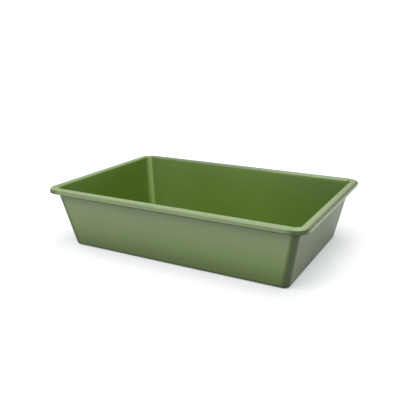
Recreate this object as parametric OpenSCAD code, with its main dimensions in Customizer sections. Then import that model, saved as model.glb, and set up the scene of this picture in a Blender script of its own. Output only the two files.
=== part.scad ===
// Rectangular panning tub: an open, tapered plastic tray with a flat flange and a turned-down skirt.
// The real tub is one moulding. Each node here is one named section of it, and neighbouring
// sections meet face to face. The origin is on the floor plane, in the middle of the underside.

/* [Rim] */
// Overall length, over the rim
rim_length = 460; // [380:1:560]
// Overall width, over the rim
rim_width = 316.5; // [250:0.5:400]
// How far the rim's edge stands out from the outside of the walls
rim_overhang = 11.7; // [9:0.1:18]
// Thickness of the flat flange
flange_t = 2.4; // [1.8:0.1:3]
// Radius of the flange's outer edge
flange_edge_r = 2.3; // [1:0.1:2.6]
// Radius with which the inside of the walls rolls over into the flange
flange_roll_r = 3.2; // [3:0.1:7]
// Height of the turned-down skirt, measured from the top of the rim
skirt_h = 7.4; // [6:0.1:16]
// Thickness of the skirt
skirt_t = 2.4; // [1.6:0.1:3]
// Radius of the skirt's lower edges
skirt_edge_r = 1; // [0.2:0.1:1.2]

/* [Tub] */
// Overall height
height = 105.5; // [70:0.5:150]
// Slope of the walls from upright, in degrees
draft = 11.4; // [3:0.1:18]
// Thickness of the walls, measured square to them
wall_t = 2.4; // [1.8:0.1:3]
// Thickness of the floor
floor_t = 2.4; // [1.8:0.1:4]
// Outer radius of the four upright corners at the floor, seen from above
corner_r = 10; // [8:0.5:30]
// Outer radius of the heel, where the walls turn into the floor
heel_r = 5; // [3.5:0.1:6]

/* [Hidden] */
$fn = 96;
pan_green = [0.40, 0.47, 0.27];
fillet_steps = 8;                   // flats in each small fillet of a section
corner_steps = 16;                  // flats round each upright corner of the walls
join_run = 1;                       // plain wall left between a fillet and the section that meets it

slope = tan(draft);
reach = tan((90 - draft) / 2);      // tangent length of a fillet of radius 1, between level and wall
wall_level = wall_t / cos(draft);   // wall thickness, measured level

// Underside of the tub: half the size at the floor plane, before the heel is rounded
foot_x = rim_length / 2 - rim_overhang - height * slope;
foot_y = rim_width / 2 - rim_overhang - height * slope;

// Heel: outer and inner fillets, and the line where the wall sections meet the floor panel
inner_heel_r = max(heel_r - wall_t, 0.5);
inner_heel_n = floor_t * slope - wall_level;
heel_in = max(heel_r * reach, inner_heel_r * reach - inner_heel_n) + join_run;

// Top of the walls, where the flange sections begin
under_z = height - flange_t;
root_r = max(flange_roll_r - wall_t, 0.5);
roll_drop = max(flange_roll_r * reach * cos(draft), flange_t + root_r * reach * cos(draft));
join_z = height - roll_drop - join_run;
join_x = foot_x + join_z * slope;
join_y = foot_y + join_z * slope;
join_r = corner_r + floor_t * slope;
rim_out = rim_overhang + (height - join_z) * slope;
edge_r = min(flange_edge_r, flange_t - 0.1);

// Points of an arc about c, from angle a0 to angle a1
function arc(c, r, a0, a1) =
    [for (i = [0 : fillet_steps]) let (a = a0 + (a1 - a0) * i / fillet_steps) c + r * [cos(a), sin(a)]];

// How far the centre of an upright corner has moved out at height z
function centre_shift(z) = max(0, z - floor_t) * slope;

// Section of a wall: outward from the foot line, then up
wall_section = concat(
    [[-heel_in, 0]],
    arc([-heel_r * reach, heel_r], heel_r, -90, -draft),
    [[join_z * slope, join_z], [join_z * slope - wall_level, join_z]],
    arc([inner_heel_n - inner_heel_r * reach, floor_t + inner_heel_r], inner_heel_r, -draft, -90),
    [[-heel_in, floor_t]]
);

// Section of the flange: outward from the outside of the wall at join_z, then up
roll_n = (height - join_z) * slope - wall_level;
root_n = (under_z - join_z) * slope;
flange_section = concat(
    [[-wall_level, join_z]],
    arc([roll_n + flange_roll_r * reach, height - flange_roll_r], flange_roll_r, 180 - draft, 90),
    arc([rim_out - edge_r, height - edge_r], edge_r, 90, 0),
    [[rim_out, under_z]],
    arc([root_n + root_r * reach, under_z - root_r], root_r, 90, 180 - draft),
    [[0, join_z]]
);

// Section of the skirt, in the same directions
skirt_low = height - skirt_h;
skirt_in = rim_out - skirt_t;
lip_r = min(skirt_edge_r, skirt_t / 2 - 0.1);
skirt_section = concat(
    [[skirt_in, under_z], [rim_out, under_z]],
    arc([rim_out - lip_r, skirt_low + lip_r], lip_r, 0, -90),
    arc([skirt_in + lip_r, skirt_low + lip_r], lip_r, -90, -180)
);

// Straight stretch of wall along X, on the +Y side of its foot line; half is its half length at the floor
module wall_stretch(half) {
    half_top = half + centre_shift(join_z);
    intersection() {
        rotate([90, 0, 90])
            linear_extrude(3 * half_top, center = true)
                polygon(wall_section);
        rotate([90, 0, 0])
            linear_extrude(4 * height, center = true)
                polygon([
                    [-half, 0], [half, 0], [half, floor_t], [half_top, join_z],
                    [-half_top, join_z], [-half, floor_t]
                ]);
    }
}

// Upright corner of the walls: the wall's section carried round a quarter turn about a leaning centre.
// Its two end faces are strips of triangles between the outside and the inside of the section.
module wall_corner() {
    count = len(wall_section);
    last = count - 1;
    end_strip = [
        for (i = [0 : count / 2 - 2])
            each [[i, i + 1, last - i - 1], [i, last - i - 1, last - i]]
    ];
    polyhedron(
        points = [
            for (k = [0 : corner_steps])
                for (p = wall_section)
                    let (a = 90 * k / corner_steps, s = centre_shift(p[1]), r = corner_r + p[0] - s)
                        [s + r * cos(a), s + r * sin(a), p[1]]
        ],
        faces = concat(
            end_strip,
            [
                for (k = [0 : corner_steps - 1])
                    for (i = [0 : last])
                        let (j = (i + 1) % count)
                            [k * count + j, k * count + i, (k + 1) * count + i, (k + 1) * count + j]
            ],
            [for (t = end_strip) [for (i = [2 : -1 : 0]) corner_steps * count + t[i]]]
        )
    );
}

// Straight stretch of the rim along X; section is the flange's or the skirt's
module rim_stretch(section, half) {
    rotate([90, 0, 90])
        linear_extrude(2 * half, center = true)
            polygon(section);
}

// Quarter turn of the rim about the corner's centre
module rim_corner(section) {
    rotate_extrude(angle = 90)
        polygon([for (p = section) [join_r + p[0], p[1]]]);
}

// Turns a stretch to one side of the tub: 0 rear, 90 left, 180 front, 270 right
module on_side(turn, out) {
    rotate(turn)
        translate([0, out, 0])
            children();
}

// Puts a corner at one of the four corners; x and y are 1 or -1
module on_corner(x, y, centre_x, centre_y) {
    translate([x * centre_x, y * centre_y, 0])
        rotate(x > 0 ? (y > 0 ? 0 : 270) : (y > 0 ? 90 : 180))
            children();
}

module floor_panel() {
    half_x = foot_x - heel_in;
    half_y = foot_y - heel_in;
    r = corner_r - heel_in;
    color(pan_green)
        linear_extrude(floor_t)
            union() {
                square([2 * half_x, 2 * (half_y - r)], center = true);
                square([2 * (half_x - r), 2 * half_y], center = true);
                for (x = [-1, 1])
                    for (y = [-1, 1])
                        translate([x * (half_x - r), y * (half_y - r)])
                            circle(r);
            }
}

module long_wall(turn) {
    color(pan_green)
        on_side(turn, foot_y)
            wall_stretch(foot_x - corner_r);
}

module short_wall(turn) {
    color(pan_green)
        on_side(turn, foot_x)
            wall_stretch(foot_y - corner_r);
}

module corner(x, y) {
    color(pan_green)
        on_corner(x, y, foot_x - corner_r, foot_y - corner_r)
            wall_corner();
}

module long_rim(section, turn) {
    color(pan_green)
        on_side(turn, join_y)
            rim_stretch(section, join_x - join_r);
}

module short_rim(section, turn) {
    color(pan_green)
        on_side(turn, join_x)
            rim_stretch(section, join_y - join_r);
}

module turned_rim(section, x, y) {
    color(pan_green)
        on_corner(x, y, join_x - join_r, join_y - join_r)
            rim_corner(section);
}

floor_panel();
long_wall(180);  // front_wall
long_wall(0);  // rear_wall
short_wall(90);  // left_wall
short_wall(270);  // right_wall
corner(-1, -1);  // front_left_corner
corner(1, -1);  // front_right_corner
corner(-1, 1);  // rear_left_corner
corner(1, 1);  // rear_right_corner
long_rim(flange_section, 180);  // front_flange
long_rim(flange_section, 0);  // rear_flange
short_rim(flange_section, 90);  // left_flange
short_rim(flange_section, 270);  // right_flange
turned_rim(flange_section, -1, -1);  // front_left_flange_corner
turned_rim(flange_section, 1, -1);  // front_right_flange_corner
turned_rim(flange_section, -1, 1);  // rear_left_flange_corner
turned_rim(flange_section, 1, 1);  // rear_right_flange_corner
long_rim(skirt_section, 180);  // front_skirt
long_rim(skirt_section, 0);  // rear_skirt
short_rim(skirt_section, 90);  // left_skirt
short_rim(skirt_section, 270);  // right_skirt
turned_rim(skirt_section, -1, -1);  // front_left_skirt_corner
turned_rim(skirt_section, 1, -1);  // front_right_skirt_corner
turned_rim(skirt_section, -1, 1);  // rear_left_skirt_corner
turned_rim(skirt_section, 1, 1);  // rear_right_skirt_corner
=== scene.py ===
import math

import bmesh
import bpy
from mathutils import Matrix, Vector


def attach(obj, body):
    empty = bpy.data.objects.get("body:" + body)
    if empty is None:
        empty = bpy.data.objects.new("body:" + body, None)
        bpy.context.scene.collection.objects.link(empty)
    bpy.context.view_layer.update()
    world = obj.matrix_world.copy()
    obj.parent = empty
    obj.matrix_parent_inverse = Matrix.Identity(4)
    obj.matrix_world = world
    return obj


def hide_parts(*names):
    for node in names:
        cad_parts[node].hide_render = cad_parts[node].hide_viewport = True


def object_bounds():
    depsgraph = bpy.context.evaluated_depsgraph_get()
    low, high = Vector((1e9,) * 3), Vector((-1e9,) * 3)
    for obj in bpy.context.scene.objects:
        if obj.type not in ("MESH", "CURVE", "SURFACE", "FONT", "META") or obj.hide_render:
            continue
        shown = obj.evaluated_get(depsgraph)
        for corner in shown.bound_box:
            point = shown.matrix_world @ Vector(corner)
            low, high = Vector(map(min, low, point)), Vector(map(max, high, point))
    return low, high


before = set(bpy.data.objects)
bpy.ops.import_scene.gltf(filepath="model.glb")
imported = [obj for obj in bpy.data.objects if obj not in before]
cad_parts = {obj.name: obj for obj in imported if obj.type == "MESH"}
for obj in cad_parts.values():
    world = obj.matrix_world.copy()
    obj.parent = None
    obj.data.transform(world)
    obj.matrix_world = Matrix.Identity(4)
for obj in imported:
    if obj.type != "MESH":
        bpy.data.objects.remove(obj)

cadLow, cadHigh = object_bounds()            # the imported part's own box, before anything is dressed
print("frame loaded:", len(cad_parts), "sections")


# small helpers for working in edit mode

slack = 0.00002                          # in metres, for finding an edge by its place


def pickEdges(thing, test):
    # selects the edges for which test(edge) is true, and nothing else
    bpy.ops.mesh.select_mode(type="EDGE")
    bpy.ops.mesh.select_all(action="DESELECT")
    mesh = bmesh.from_edit_mesh(thing.data)
    for edge in mesh.edges:
        if test(edge):
            edge.select_set(True)
    mesh.select_flush(True)
    bmesh.update_edit_mesh(thing.data)


def isLevel(edge, z):
    return all(abs(v.co.z - z) < slack for v in edge.verts)


def isOnUpright(edge):
    return any(abs(face.normal.z) < 0.5 for face in edge.link_faces)


# the tub, modelled as one skin and given its thickness

tub = {
    "length": cadHigh.x - cadLow.x,
    "width": cadHigh.y - cadLow.y,
    "height": cadHigh.z - cadLow.z,
    "draft": math.radians(11.4),         # how far the walls lean out
    "wall": 0.0024,                      # one thickness throughout
    "overhang": 0.0117,                  # rim past the outside of the walls, at the top
    "rimCorner": 0.0234,                 # plan radius of the rim's corners
    "skirtDrop": 0.0074,                 # skirt's lower edge below the top of the rim
    "heel": 0.005,                       # outer radius where the walls turn into the floor
    "roll": 0.0032,                      # inner radius where the walls roll into the flange
    "rimEdge": 0.0030,                   # outer radius of the flange's edge
    "lipRound": 0.0006,                  # skirt's lower edges
    "cornerSteps": 16,
    "filletSteps": 8,
    "lipSteps": 3,
}


def wallsAtFlange(t):
    # how much the walls lean out, and where their outside meets the underside of the flange
    lean = math.tan(t["draft"])
    wallX = t["length"] / 2 - t["overhang"] - t["wall"] * lean
    wallY = t["width"] / 2 - t["overhang"] - t["wall"] * lean
    return lean, wallX, wallY, t["height"] - t["wall"]


def makeShell(t):
    # drawn on the outside of the walls and the underside of the flange, thickened inwards and upwards
    lean, wallX, wallY, underZ = wallsAtFlange(t)
    reach = math.tan((math.pi / 2 - t["draft"]) / 2)     # tangent length of a fillet of radius 1
    ringWidth = t["length"] / 2 - t["wall"] - wallX

    bpy.ops.object.select_all(action="DESELECT")
    bpy.ops.mesh.primitive_plane_add(size=1, location=(0, 0, underZ))
    shell = bpy.context.object
    shell.name = "tub_shell"
    shell.scale = (t["length"] - 2 * t["wall"], t["width"] - 2 * t["wall"], 1)
    bpy.ops.object.transform_apply(location=True, rotation=True, scale=True)

    bpy.ops.object.mode_set(mode="EDIT")
    bpy.ops.mesh.select_all(action="SELECT")             # rounded corners of the rim
    bpy.ops.mesh.bevel(offset=t["rimCorner"] - t["wall"], segments=t["cornerSteps"], affect="VERTICES")
    bpy.ops.mesh.select_all(action="SELECT")             # flange ring, then the tub pulled down from it
    bpy.ops.mesh.inset(thickness=ringWidth)
    bpy.ops.mesh.extrude_region_move(TRANSFORM_OT_translate={"value": (0, 0, -underZ)})
    footX = wallX - underZ * lean
    footY = wallY - underZ * lean
    bpy.ops.transform.resize(value=(footX / wallX, footY / wallY, 1), center_override=(0, 0, 0))

    pickEdges(shell, lambda e: e.is_boundary and isLevel(e, underZ))     # skirt, from the ring's outer edge
    bpy.ops.mesh.extrude_region_move(TRANSFORM_OT_translate={"value": (0, 0, t["wall"] - t["skirtDrop"])})
    pickEdges(shell, lambda e: isLevel(e, 0))            # heel
    bpy.ops.mesh.bevel(offset=t["heel"] * reach, segments=t["filletSteps"], affect="EDGES")

    def isAtWalls(edge):
        return all(abs(v.co.x) < wallX + slack and abs(v.co.y) < wallY + slack for v in edge.verts)

    pickEdges(shell, lambda e: isLevel(e, underZ) and isAtWalls(e))      # roll from the walls to the flange
    bpy.ops.mesh.bevel(offset=(t["roll"] - t["wall"]) * reach, segments=t["filletSteps"], affect="EDGES")
    pickEdges(shell, lambda e: isLevel(e, underZ) and isOnUpright(e))    # roll from the flange to the skirt
    bpy.ops.mesh.bevel(offset=t["rimEdge"] - t["wall"], segments=t["filletSteps"] // 2, affect="EDGES")
    bpy.ops.object.mode_set(mode="OBJECT")

    thick = shell.modifiers.new("thickness", "SOLIDIFY")
    thick.thickness = t["wall"]
    thick.offset = 1
    thick.use_even_offset = True
    thick.use_quality_normals = True
    bpy.ops.object.modifier_apply(modifier=thick.name)

    bpy.ops.object.mode_set(mode="EDIT")                 # lower edges of the skirt
    lipZ = t["height"] - t["skirtDrop"]
    pickEdges(shell, lambda e: isLevel(e, lipZ) and isOnUpright(e))
    bpy.ops.mesh.bevel(offset=t["lipRound"], segments=t["lipSteps"], affect="EDGES")
    bpy.ops.mesh.select_all(action="SELECT")
    bpy.ops.mesh.normals_make_consistent(inside=False)
    bpy.ops.object.mode_set(mode="OBJECT")
    return shell


shell = makeShell(tub)
print("shell modelled:", len(shell.data.polygons), "faces")


# the moulding divided along its natural lines, as the solids are

sections = {
    "jointZ": 0.0975,                    # walls below, rim with its skirt above
    "run": 0.003,                        # flat wall left on each upright corner
    "cutSlack": 0.000001,                # corners that near a cut count as on it
    "smoothUnder": 40,                   # degrees
    "evenWeight": 80,                    # pull of the large faces on the shading
}


def makeCuts(t, s):
    # one cutting plane for each joint: a point on it and its normal, which faces away from the middle
    lean, wallX, wallY, underZ = wallsAtFlange(t)
    radius = t["rimCorner"] - (t["length"] / 2 - wallX)
    atX = wallX - radius - s["run"]
    atY = wallY - radius - s["run"]
    inX = atX * underZ * lean / wallX                    # how far in the planes lean, down to the floor
    inY = atY * underZ * lean / wallY
    return {
        "right": ((atX, 0, underZ), (underZ, 0, -inX)),
        "left": ((-atX, 0, underZ), (-underZ, 0, -inX)),
        "rear": ((0, atY, underZ), (0, underZ, -inY)),
        "front": ((0, -atY, underZ), (0, -underZ, -inY)),
        "joint": ((0, 0, s["jointZ"]), (0, 0, 1)),
    }


def takeSection(whole, name, cuts, inside=(), outside=()):
    # a copy of the shell, cut back to what lies inside some planes and outside others
    bpy.ops.object.select_all(action="DESELECT")
    whole.select_set(True)
    bpy.context.view_layer.objects.active = whole
    bpy.ops.object.duplicate()
    part = bpy.context.object
    part.name = part.data.name = name
    bpy.ops.object.mode_set(mode="EDIT")
    for plane in (*inside, *outside):
        point, normal = cuts[plane]
        bpy.ops.mesh.select_all(action="SELECT")
        bpy.ops.mesh.bisect(plane_co=point, plane_no=normal, threshold=sections["cutSlack"], use_fill=True,
                            clear_outer=plane in inside, clear_inner=plane in outside)
    bpy.ops.mesh.select_all(action="SELECT")
    bpy.ops.mesh.normals_make_consistent(inside=False)
    bpy.ops.object.mode_set(mode="OBJECT")
    bpy.ops.object.shade_smooth_by_angle(angle=math.radians(sections["smoothUnder"]))
    even = part.modifiers.new("even shading", "WEIGHTED_NORMAL")
    even.keep_sharp = True
    even.weight = sections["evenWeight"]
    bpy.ops.object.modifier_apply(modifier=even.name)
    return part


cuts = makeCuts(tub, sections)
ends = ("front", "rear")
sides = ("left", "right")
pieces = []

floor = takeSection(shell, "tub_floor", cuts, inside=(*ends, *sides))
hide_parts("floor_panel")
pieces.append(floor)

for side in (*ends, *sides):
    neighbours = sides if side in ends else ends
    wall = takeSection(shell, f"tub_{side}_wall", cuts, inside=("joint", *neighbours), outside=(side,))
    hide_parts(f"{side}_wall")
    rim = takeSection(shell, f"tub_{side}_rim", cuts, inside=neighbours, outside=("joint", side))
    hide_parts(f"{side}_flange", f"{side}_skirt")
    pieces += [wall, rim]

for end in ends:
    for side in sides:
        corner = takeSection(shell, f"tub_{end}_{side}_corner", cuts, inside=("joint",), outside=(end, side))
        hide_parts(f"{end}_{side}_corner")
        rim = takeSection(shell, f"tub_{end}_{side}_rim_corner", cuts, outside=("joint", end, side))
        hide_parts(f"{end}_{side}_flange_corner", f"{end}_{side}_skirt_corner")
        pieces += [corner, rim]

bpy.data.objects.remove(shell)
print("sections cut:", len(pieces))


# finish: satin olive polypropylene

plasticMat = bpy.data.materials.new("olive_polypropylene")
plasticMat.use_nodes = True
nodes, links = plasticMat.node_tree.nodes, plasticMat.node_tree.links


# small helpers that each add a node to the plastic's tree

def feed(socket, value):
    if isinstance(value, bpy.types.NodeSocket):
        links.new(value, socket)
    else:
        socket.default_value = value


def calc(operation, *values, clamp=False):
    node = nodes.new("ShaderNodeMath")
    node.operation = operation
    node.use_clamp = clamp
    for socket, value in zip(node.inputs, values):
        feed(socket, value)
    return node.outputs["Value"]


def times(first, *others):
    for other in others:
        first = calc("MULTIPLY", first, other)
    return first


def most(first, *others):
    for other in others:
        first = calc("MAXIMUM", first, other)
    return first


def line(value, slope, start):           # start where the value is 0, and slope more where it is 1
    return calc("MULTIPLY_ADD", value, slope, start)


def allBut(value):
    return calc("SUBTRACT", 1, value)


def between(value, low, high):           # 0 at low, 1 at high, smooth between them
    node = nodes.new("ShaderNodeMapRange")
    node.interpolation_type = "SMOOTHSTEP"
    for name, item in (("Value", value), ("From Min", low), ("From Max", high)):
        feed(node.inputs[name], item)
    return node.outputs["Result"]


def inFrom(edge, pair, value):           # the same, for a pair that is measured back from an edge
    return between(value, edge - pair[0], edge - pair[1])


def noise(vector, scale, detail, roughness=0.5):
    node = nodes.new("ShaderNodeTexNoise")
    for name, item in (("Vector", vector), ("Scale", scale), ("Detail", detail), ("Roughness", roughness)):
        feed(node.inputs[name], item)
    return node.outputs["Fac"]


def stretched(vector, scale, turn):
    node = nodes.new("ShaderNodeMapping")
    for name, item in (("Vector", vector), ("Rotation", (turn, turn, turn)), ("Scale", scale)):
        feed(node.inputs[name], item)
    return node.outputs["Vector"]


def blend(factor, first, second, mode="MIX"):
    node = nodes.new("ShaderNodeMix")
    node.data_type = "RGBA"
    node.blend_type = mode
    feed(node.inputs["Factor"], factor)
    feed(node.inputs[6], first)          # the two colours
    feed(node.inputs[7], second)
    return node.outputs[2]


def axes(vector):
    node = nodes.new("ShaderNodeSeparateXYZ")
    feed(node.inputs["Vector"], vector)
    return node.outputs


def bump(height, distance, below=None):
    node = nodes.new("ShaderNodeBump")
    feed(node.inputs["Height"], height)
    feed(node.inputs["Distance"], distance)
    if below:
        feed(node.inputs["Normal"], below)
    return node.outputs["Normal"]


# painted shade and painted light for the tub, with the real rubbed wear of the rim's edge
wearAndPaintedLight = {
    # a pair is where something starts and where it is full, in metres or, for a turn, as a share
    "underFrom": (-0.02, -0.15),         # how far a face looks down, as a share
    "cornerRadius": 0.010,               # about the outside of the upright corners
    "wallSkin": 0.0011,                  # the outer skin there, inwards: on the walls, and on the rim
    "rimSkin": 0.0026,
    "skinSoft": (-0.0006, 0.0002),       # either side of that skin
    "rimSoft": 0.0015,                   # tones of the rim start that far below its skirt
    "mouthCorner": (0.0078, 0.0084),     # where the flange starts, out from a corner's centre line
    "flangeSoft": 0.0006,                # and beside the straight walls, past the mouth
    "turnFrom": (0.0, 0.40),

    "cornerShade": 0.54,                  # painted shade on the outside of the upright corners
    "cornerSide": (-0.42, 0.25),         # both as parts of the turn
    "cornerEnd": (0.10, 0.60),
    "cornerHighlight": 0.36,                  # painted highlight in the inner corners at the left end
    "liftSide": (-0.25, 0.65),
    "liftEnd": (-0.78, -0.45),
    "liftFrom": (0.05, -0.05),           # from right of the middle to left of it

    "paintedSheen": 0.45,                      # painted sheen, a pale reflection on the front
    "paintedSheenFrom": (0.118, 0.150),        # how far forward
    "rimHold": 0.22,                     # the rim keeps that share of its colour there
    "rimPaintedSheen": 0.50,                   # share of the painted sheen all round the rim
    "rightPaintedSheen": 0.45,                 # more of it on the right flange
    "rightPaintedSheenIn": (0.020, 0),         # in from that end of the mouth
    "rearPaintedSheen": 0.30,                  # and towards the right on the rear rim
    "rearRimIn": (0.0012, 0.0004),       # in from that side of the mouth
    "rearRimFrom": (-0.05, 0.14),        # where the rear rim turns from painted shade to painted sheen
    # painted shade on the left part of the rear rim
    "rearRimShade": 0.25,

    "rearInsideFrom": (0.09, 0.12),      # the inside of the rear wall
    "leftPaintedLight": 0.07,                     # painted light there, paler towards the left corner
    "leftPaintedLightFrom": (-0.06, -0.17),
    "rearCornerShade": 0.20,                    # painted shade, deeper towards the right corner
    "rearCornerShadeFrom": (0.02, 0.19),
    "highReflection": 0.025,                       # and a pale painted reflection high up
    # painted shade over that same band high up
    "highShade": 0.07,
    "highBand": (0.060, 0.090),

    "endShade": 0.18,                     # painted shade on the outside of the two ends
    "recessShade": 0.91,                  # painted shade high on the outside, under the rim
    "recessHigh": (0.0900, 0.0936),
    "recessFade": 0.60,                  # how much it thins out again, and where
    "recessFadeHigh": (0.0945, 0.0975),
    "recessLower": 0.0030,               # that much lower on the two ends
    "footShade": 0.24,                    # painted shade, deeper near the foot of the walls
    "footHigh": (0.004, 0.040),
    "heelShade": 0.75,                    # painted shade along the heel
    "heelHigh": (0.0020, 0.0070),
    "heelIn": (0.0042, 0.0028),          # in from the foot of the walls

    "rollShade": 0.55,                    # painted shade: a deeper line along the roll of the rim
    "rollOnSides": 0.4,                  # share of it on the long sides
    "rollEndIn": (0.0044, 0.0028),       # in from the rim's edge at the ends, and on the long sides
    "rollSideIn": (0.0022, 0.0010),
    "rollTop": (0.0003, 0.00003),        # down from the top
    "rollBottom": (0.0031, 0.0021),
    "rightRoll": 0.88,                   # share of it where the roll starts on the right
    "rightRollIn": (0.0056, 0.0038),
    "skirtReflection": 0.35,                   # painted reflection: a paler skirt at the ends
    "frontFace": 0.05,                   # painted shade: a deeper skirt at the front, more so towards the right
    "frontFaceRight": 0.16,
    "frontFaceIn": (0.0018, 0.0006),
    "frontFaceFrom": (0.03, 0.20),

    "rubbed": 0.35,                      # rubbed outer edge of the rim
    "rubbedIn": (0.0028, 0.0006),
    "rubbedDown": (0.0035, 0.0015),
}


def findPlaces(t, w, place):
    # masks from 0 to 1 for the parts of the tub; x and y are the same on both sides of the middle
    lean = math.tan(t["draft"])
    split = axes(place)
    right, rear, z = split["X"], split["Y"], split["Z"]
    x, y = calc("ABSOLUTE", right), calc("ABSOLUTE", rear)
    front = calc("MULTIPLY", rear, -1)
    endX, sideY, top = t["length"] / 2, t["width"] / 2, t["height"]
    mouthX, mouthY = (edge - t["overhang"] - t["wall"] for edge in (endX, sideY))
    footX, footY = (edge - t["overhang"] - top * lean for edge in (endX, sideY))
    facing = axes(nodes.new("ShaderNodeNewGeometry").outputs["Normal"])
    under = between(facing["Z"], *w["underFrom"])        # 1 on the leaning outside of the walls
    sideways = times(facing["X"], facing["X"])           # 1 where a face looks towards an end

    # how far round an upright corner, and how far out from its leaning centre line
    alongX = calc("SUBTRACT", x, line(z, lean, footX - w["cornerRadius"]))
    alongY = calc("SUBTRACT", y, line(z, lean, footY - w["cornerRadius"]))
    out = calc("SQRT", calc("ADD", times(alongX, alongX), times(alongY, alongY)))
    turn = between(calc("DIVIDE", calc("MINIMUM", alongX, alongY), out), *w["turnFrom"])
    onSide = calc("DIVIDE", alongX, out)
    onEnd = calc("DIVIDE", alongY, out)

    lip = top - t["skirtDrop"]
    onRim = between(z, lip - w["rimSoft"], lip)
    wallSkin = w["cornerRadius"] - w["wallSkin"]
    skin = line(onRim, t["rimCorner"] - w["rimSkin"] - wallSkin, wallSkin)
    outside = between(out, calc("ADD", skin, w["skinSoft"][0]), calc("ADD", skin, w["skinSoft"][1]))
    pastMouth = between(out, *w["mouthCorner"])
    inside = times(allBut(outside), allBut(times(onRim, pastMouth)))
    flange = most(times(turn, pastMouth), between(x, mouthX, mouthX + w["flangeSoft"]),
                  between(y, mouthY, mouthY + w["flangeSoft"]))

    recessZ = line(sideways, w["recessLower"], z)
    atHeel = most(inFrom(footX, w["heelIn"], x), inFrom(footY, w["heelIn"], y))
    outermost = most(inFrom(endX, w["rollEndIn"], x), inFrom(sideY, w["rollSideIn"], y))
    rollLow = inFrom(top, w["rollBottom"], z)
    rollHigh = allBut(inFrom(top, w["rollTop"], z))
    roll = times(outermost, line(sideways, 1 - w["rollOnSides"], w["rollOnSides"]), rollHigh)
    rightRoll = calc("MULTIPLY", inFrom(endX, w["rightRollIn"], right), w["rightRoll"])
    # most of these masks carry painted shade and painted light; rimEdge carries the real rubbed wear
    return {
        "onRim": onRim,
        "under": under,
        "ends": times(under, sideways),
        "corners": times(between(onSide, *w["cornerSide"]), between(onEnd, *w["cornerEnd"]), outside),
        "leftCorners": times(between(onSide, *w["liftSide"]), between(onEnd, *w["liftEnd"]), inside,
                             between(right, *w["liftFrom"])),
        "flange": times(flange, onRim),
        "forward": between(front, *w["paintedSheenFrom"]),
        "rightFlange": inFrom(mouthX, w["rightPaintedSheenIn"], right),
        "rearRim": times(onRim, inFrom(mouthY, w["rearRimIn"], rear)),
        "rearRight": between(right, *w["rearRimFrom"]),
        "rearInside": times(between(rear, *w["rearInsideFrom"]), allBut(most(under, onRim))),
        "leftPaintedLight": between(right, *w["leftPaintedLightFrom"]),
        "upper": between(z, *w["highBand"]),
        "rearCorner": between(right, *w["rearCornerShadeFrom"]),
        "recess": times(under, between(recessZ, *w["recessHigh"]),
                        line(between(recessZ, *w["recessFadeHigh"]), -w["recessFade"], 1)),
        "foot": times(under, allBut(between(z, *w["footHigh"]))),
        "heel": times(allBut(between(z, *w["heelHigh"])), atHeel),
        "roll": times(most(roll, rightRoll), rollLow),
        "skirt": times(outermost, sideways, onRim, allBut(rollLow)),
        "frontFace": times(inFrom(sideY, w["frontFaceIn"], front), calc("SUBTRACT", onRim, rollLow),
                           line(between(right, *w["frontFaceFrom"]), w["frontFaceRight"], w["frontFace"])),
        "rimEdge": times(most(inFrom(endX, w["rubbedIn"], x), inFrom(sideY, w["rubbedIn"], y)),
                         inFrom(top, w["rubbedDown"], z)),
    }


plastic = {
    "colour": (0.058, 0.106, 0.0072),    # the body colour, and the deeper one that it drifts to
    "deepColour": (0.053, 0.099, 0.0060),
    "scuffColour": (0.105, 0.150, 0.045),
    # pale colour of the painted sheen, and of the painted light inside the rear wall
    "paintedSheenColour": (0.22, 0.26, 0.17),
    # colour of the painted highlight in the inner corners at the left end
    "cornerHighlightColour": (0.24, 0.34, 0.09),
    "driftFrom": (0.3, 0.7),
    "mottle": 0.05,                      # share of the mottle in the colour
    "ior": 1.49,
    "roughness": 0.38,
    "driftRough": 0.10,                  # roughness that the drift and the mottle add or take away
    "mottleRough": 0.08,
    "scratchRough": 0.10,                # and that scratches and rubbed places add
    "rubbedRough": 0.5,
    "patchesFrom": (0.52, 0.72),         # where a pattern starts and is full
    "scratchAreasFrom": (0.45, 0.65),
    "scratchesFrom": (0.66, 0.72),
    "scratchDepth": 0.6,                 # in grain heights
    "waveHeight": 0.0004,
    "grainHeight": 0.000025,
}

patterns = {
    # cycles to the metre, detail, roughness
    "drift": (8, 2, 0.5),                # slow drift in the melt
    "mottle": (110, 4, 0.6),
    "patches": (260, 5, 0.65),
    "scratchAreas": (14, 2, 0.5),        # scratches are only there
    "waves": (11, 1, 0.5),
    "grain": (1500, 2, 0.5),
}

scratches = {
    # stretch along each axis, and turn in radians
    "level": ((25, 25, 900), 0.0),
    "upright": ((700, 30, 30), 0.5),
    "across": ((30, 800, 40), -0.35),
}


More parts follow.
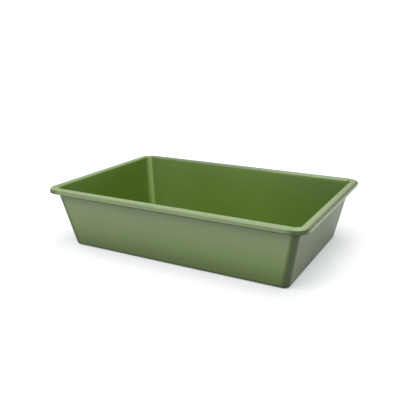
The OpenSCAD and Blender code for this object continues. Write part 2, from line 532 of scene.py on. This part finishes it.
def layColour(p, w, on, pattern):
    colour = blend(between(pattern["drift"], *p["driftFrom"]), (*p["deepColour"], 1), (*p["colour"], 1))
    # painted sheen: a pale reflection on the front, round the flange and on the rear rim, kept off the
    # shaded corners
    inFront = times(on["forward"], most(on["under"], on["flange"]), line(on["onRim"], -w["rimHold"], 1))
    onFlange = times(on["flange"], line(on["rightFlange"], w["rightPaintedSheen"], w["rimPaintedSheen"]))
    onRearRim = times(on["rearRim"], line(on["rearRight"], w["rearPaintedSheen"], w["rimPaintedSheen"]))
    paintedSheenShare = times(most(inFront, onFlange, onRearRim), w["paintedSheen"], allBut(on["corners"]))
    colour = blend(paintedSheenShare, colour, (*p["paintedSheenColour"], 1))
    # painted highlight in the inner corners at the left end
    colour = blend(times(on["leftCorners"], w["cornerHighlight"]), colour, (*p["cornerHighlightColour"], 1))
    # painted light inside the rear wall: paler towards the left corner, and a pale reflection high up
    rearPaintedLight = most(times(on["leftPaintedLight"], w["leftPaintedLight"]), times(on["upper"], w["highReflection"]))
    colour = blend(times(rearPaintedLight, on["rearInside"]), colour, (*p["paintedSheenColour"], 1))

    # every tone darkens by its share, or with a minus lightens; apart from the mottle, each is painted
    # shade, or on the skirt a painted reflection
    tone = line(calc("SUBTRACT", pattern["mottle"], 0.5), 2 * p["mottle"], 1)
    for mask, share in ((on["corners"], w["cornerShade"]),
                        (on["frontFace"], 1),
                        (times(on["rearRim"], allBut(on["rearRight"])), w["rearRimShade"]),
                        (times(on["rearInside"], on["upper"]), w["highShade"]),
                        (times(on["rearInside"], on["rearCorner"]), w["rearCornerShade"]),
                        (on["recess"], w["recessShade"]),
                        (on["foot"], w["footShade"]),
                        (on["heel"], w["heelShade"]),
                        (on["ends"], w["endShade"]),
                        (on["roll"], w["rollShade"]),
                        (on["skirt"], -w["skirtReflection"])):
        tone = times(tone, line(mask, -share, 1))
    grey = nodes.new("ShaderNodeCombineColor")
    for socket in grey.inputs:
        feed(socket, tone)
    return blend(1.0, colour, grey.outputs["Color"], "MULTIPLY")


def finishPlastic(t, p, w):
    shader = nodes["Principled BSDF"]
    shader.inputs["IOR"].default_value = p["ior"]
    place = nodes.new("ShaderNodeTexCoord").outputs["Object"]
    on = findPlaces(t, w, place)
    pattern = {name: noise(place, *settings) for name, settings in patterns.items()}
    rubbed = times(on["rimEdge"], between(pattern["patches"], *p["patchesFrom"]), w["rubbed"])
    scratched = most(*(between(noise(stretched(place, stretch, turn), 1, 2), *p["scratchesFrom"])
                       for stretch, turn in scratches.values()))
    scratched = times(scratched, between(pattern["scratchAreas"], *p["scratchAreasFrom"]))

    colour = layColour(p, w, on, pattern)
    feed(shader.inputs["Base Color"], blend(rubbed, colour, (*p["scuffColour"], 1)))
    rough = line(calc("SUBTRACT", pattern["drift"], 0.5), p["driftRough"], p["roughness"])
    rough = line(calc("SUBTRACT", pattern["mottle"], 0.5), p["mottleRough"], rough)
    rough = line(scratched, p["scratchRough"], rough)
    feed(shader.inputs["Roughness"], calc("MULTIPLY_ADD", rubbed, p["rubbedRough"], rough, clamp=True))

    # long shallow waves of a cooled moulding, under the fine grain of the tool
    wavy = bump(pattern["waves"], p["waveHeight"])
    grain = line(scratched, -p["scratchDepth"], pattern["grain"])
    feed(shader.inputs["Normal"], bump(grain, p["grainHeight"], wavy))


finishPlastic(tub, plastic, wearAndPaintedLight)
for piece in pieces:
    piece.data.materials.clear()
    piece.data.materials.append(plasticMat)
    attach(piece, "root")
print("finish on")


# a pale lit table, a sky that is white only near the horizon, and softboxes

studio = {
    "floorSize": 8.0,
    "floorGap": 0.0002,                  # keeps the table's face clear of the underside
    "floorColour": (0.34, 0.34, 0.344),
    "floorRoughness": 0.9,
    "floorSpecular": 0.2,
    "floorGlow": (0.41, 1.15),           # light that the table gives by itself, near and far
    "glowFrom": (0.45, 1.35),            # distances from its centre
    "glowCentre": (0.10, -0.35),
    "glowColour": (0.955, 0.985, 1.0),
    "sky": 0.30,
    "horizon": 0.80,                     # added to the sky near the horizon
    "horizonTop": (0.08, 0.17),          # where that fades out, as a share of straight up
    "aim": (0, 0, 0.05),                 # where the softboxes point
}

softboxes = {
    # bearing, clockwise from the rear, and height in degrees; distance; size; watts
    "top": (90, 79, 2.2, (2.0, 1.8), 68.0),
    "frontTop": (182, 48, 1.8, (2.0, 1.0), 40.5),
    "frontLeft": (232, 24, 2.4, (1.0, 0.8), 3.0),
    "leftHigh": (275, 52, 2.4, (1.2, 1.2), 7.0),
    "left": (285, 28, 2.4, (1.2, 0.8), 8.5),
    "rear": (331, 27, 2.6, (1.6, 0.9), 4.8),
}


def makeFade(nodes, places, strengths, shape):
    fade = nodes.new("ShaderNodeMapRange")
    fade.interpolation_type = shape
    for name, value in zip(("From Min", "From Max", "To Min", "To Max"), (*places, *strengths)):
        fade.inputs[name].default_value = value
    return fade


def makeFloor(s):
    bpy.ops.object.select_all(action="DESELECT")
    bpy.ops.mesh.primitive_plane_add(size=s["floorSize"], location=(0, 0, -s["floorGap"]))
    ground = bpy.context.object
    ground.name = "studio_floor"
    mat = bpy.data.materials.new("floor_white")
    mat.use_nodes = True
    shader = mat.node_tree.nodes["Principled BSDF"]
    shader.inputs["Base Color"].default_value = (*s["floorColour"], 1)
    shader.inputs["Roughness"].default_value = s["floorRoughness"]
    shader.inputs["Specular IOR Level"].default_value = s["floorSpecular"]
    shader.inputs["Emission Color"].default_value = (*s["glowColour"], 1)
    nodes, links = mat.node_tree.nodes, mat.node_tree.links
    reach = nodes.new("ShaderNodeVectorMath")
    reach.operation = "DISTANCE"
    links.new(nodes.new("ShaderNodeTexCoord").outputs["Object"], reach.inputs[0])
    reach.inputs[1].default_value = (*s["glowCentre"], 0)
    glow = makeFade(nodes, s["glowFrom"], s["floorGlow"], "SMOOTHSTEP")
    links.new(reach.outputs["Value"], glow.inputs["Value"])
    links.new(glow.outputs["Result"], shader.inputs["Emission Strength"])
    ground.data.materials.append(mat)


def makeSky(s):
    sky = bpy.data.worlds.new("studio_sky")
    bpy.context.scene.world = sky
    sky.use_nodes = True
    nodes, links = sky.node_tree.nodes, sky.node_tree.links
    split = nodes.new("ShaderNodeSeparateXYZ")
    links.new(nodes.new("ShaderNodeTexCoord").outputs["Generated"], split.inputs["Vector"])
    fade = makeFade(nodes, s["horizonTop"], (s["sky"] + s["horizon"], s["sky"]), "LINEAR")
    links.new(split.outputs["Z"], fade.inputs["Value"])
    links.new(fade.outputs["Result"], nodes["Background"].inputs["Strength"])
    nodes["Background"].inputs["Color"].default_value = (1, 1, 1, 1)


def makeSoftbox(name, bearing, height, distance, size, watts):
    light = bpy.data.lights.new(name, "AREA")
    light.shape = "RECTANGLE"
    light.size, light.size_y = size
    light.energy = watts
    box = bpy.data.objects.new(name, light)
    bpy.context.scene.collection.objects.link(box)
    b, h = math.radians(bearing), math.radians(height)
    away = Vector((math.sin(b) * math.cos(h), math.cos(b) * math.cos(h), math.sin(h)))
    box.location = Vector(studio["aim"]) + away * distance
    box.rotation_euler = away.to_track_quat("Z", "Y").to_euler()


makeFloor(studio)
makeSky(studio)
for name, settings in softboxes.items():
    makeSoftbox(name, *settings)
print("lights on:", len(softboxes))


camera = {
    "azimuth": 28.2,                     # degrees right of straight in front
    "elevation": 16.68,
    "distance": 0.9914,
    "lens": 49.446,                      # millimetres
    "sensor": 36,
    "aimRight": -0.0128,                 # what it points at, from the middle of the underside
    "aimUp": 0.0726,
}


def makeCamera(c):
    a, e = math.radians(c["azimuth"]), math.radians(c["elevation"])
    back = Vector((math.sin(a) * math.cos(e), -math.cos(a) * math.cos(e), math.sin(e)))
    right = Vector((math.cos(a), math.sin(a), 0))
    up = back.cross(right)
    optics = bpy.data.cameras.new("camera")
    optics.sensor_width = c["sensor"]
    optics.lens = c["lens"]
    view = bpy.data.objects.new("camera", optics)
    bpy.context.scene.collection.objects.link(view)
    view.location = back * c["distance"] + right * c["aimRight"] + up * c["aimUp"]
    view.rotation_euler = back.to_track_quat("Z", "Y").to_euler()
    bpy.context.scene.camera = view


makeCamera(camera)
bpy.context.scene.view_settings.view_transform = "Standard"
print("camera set")
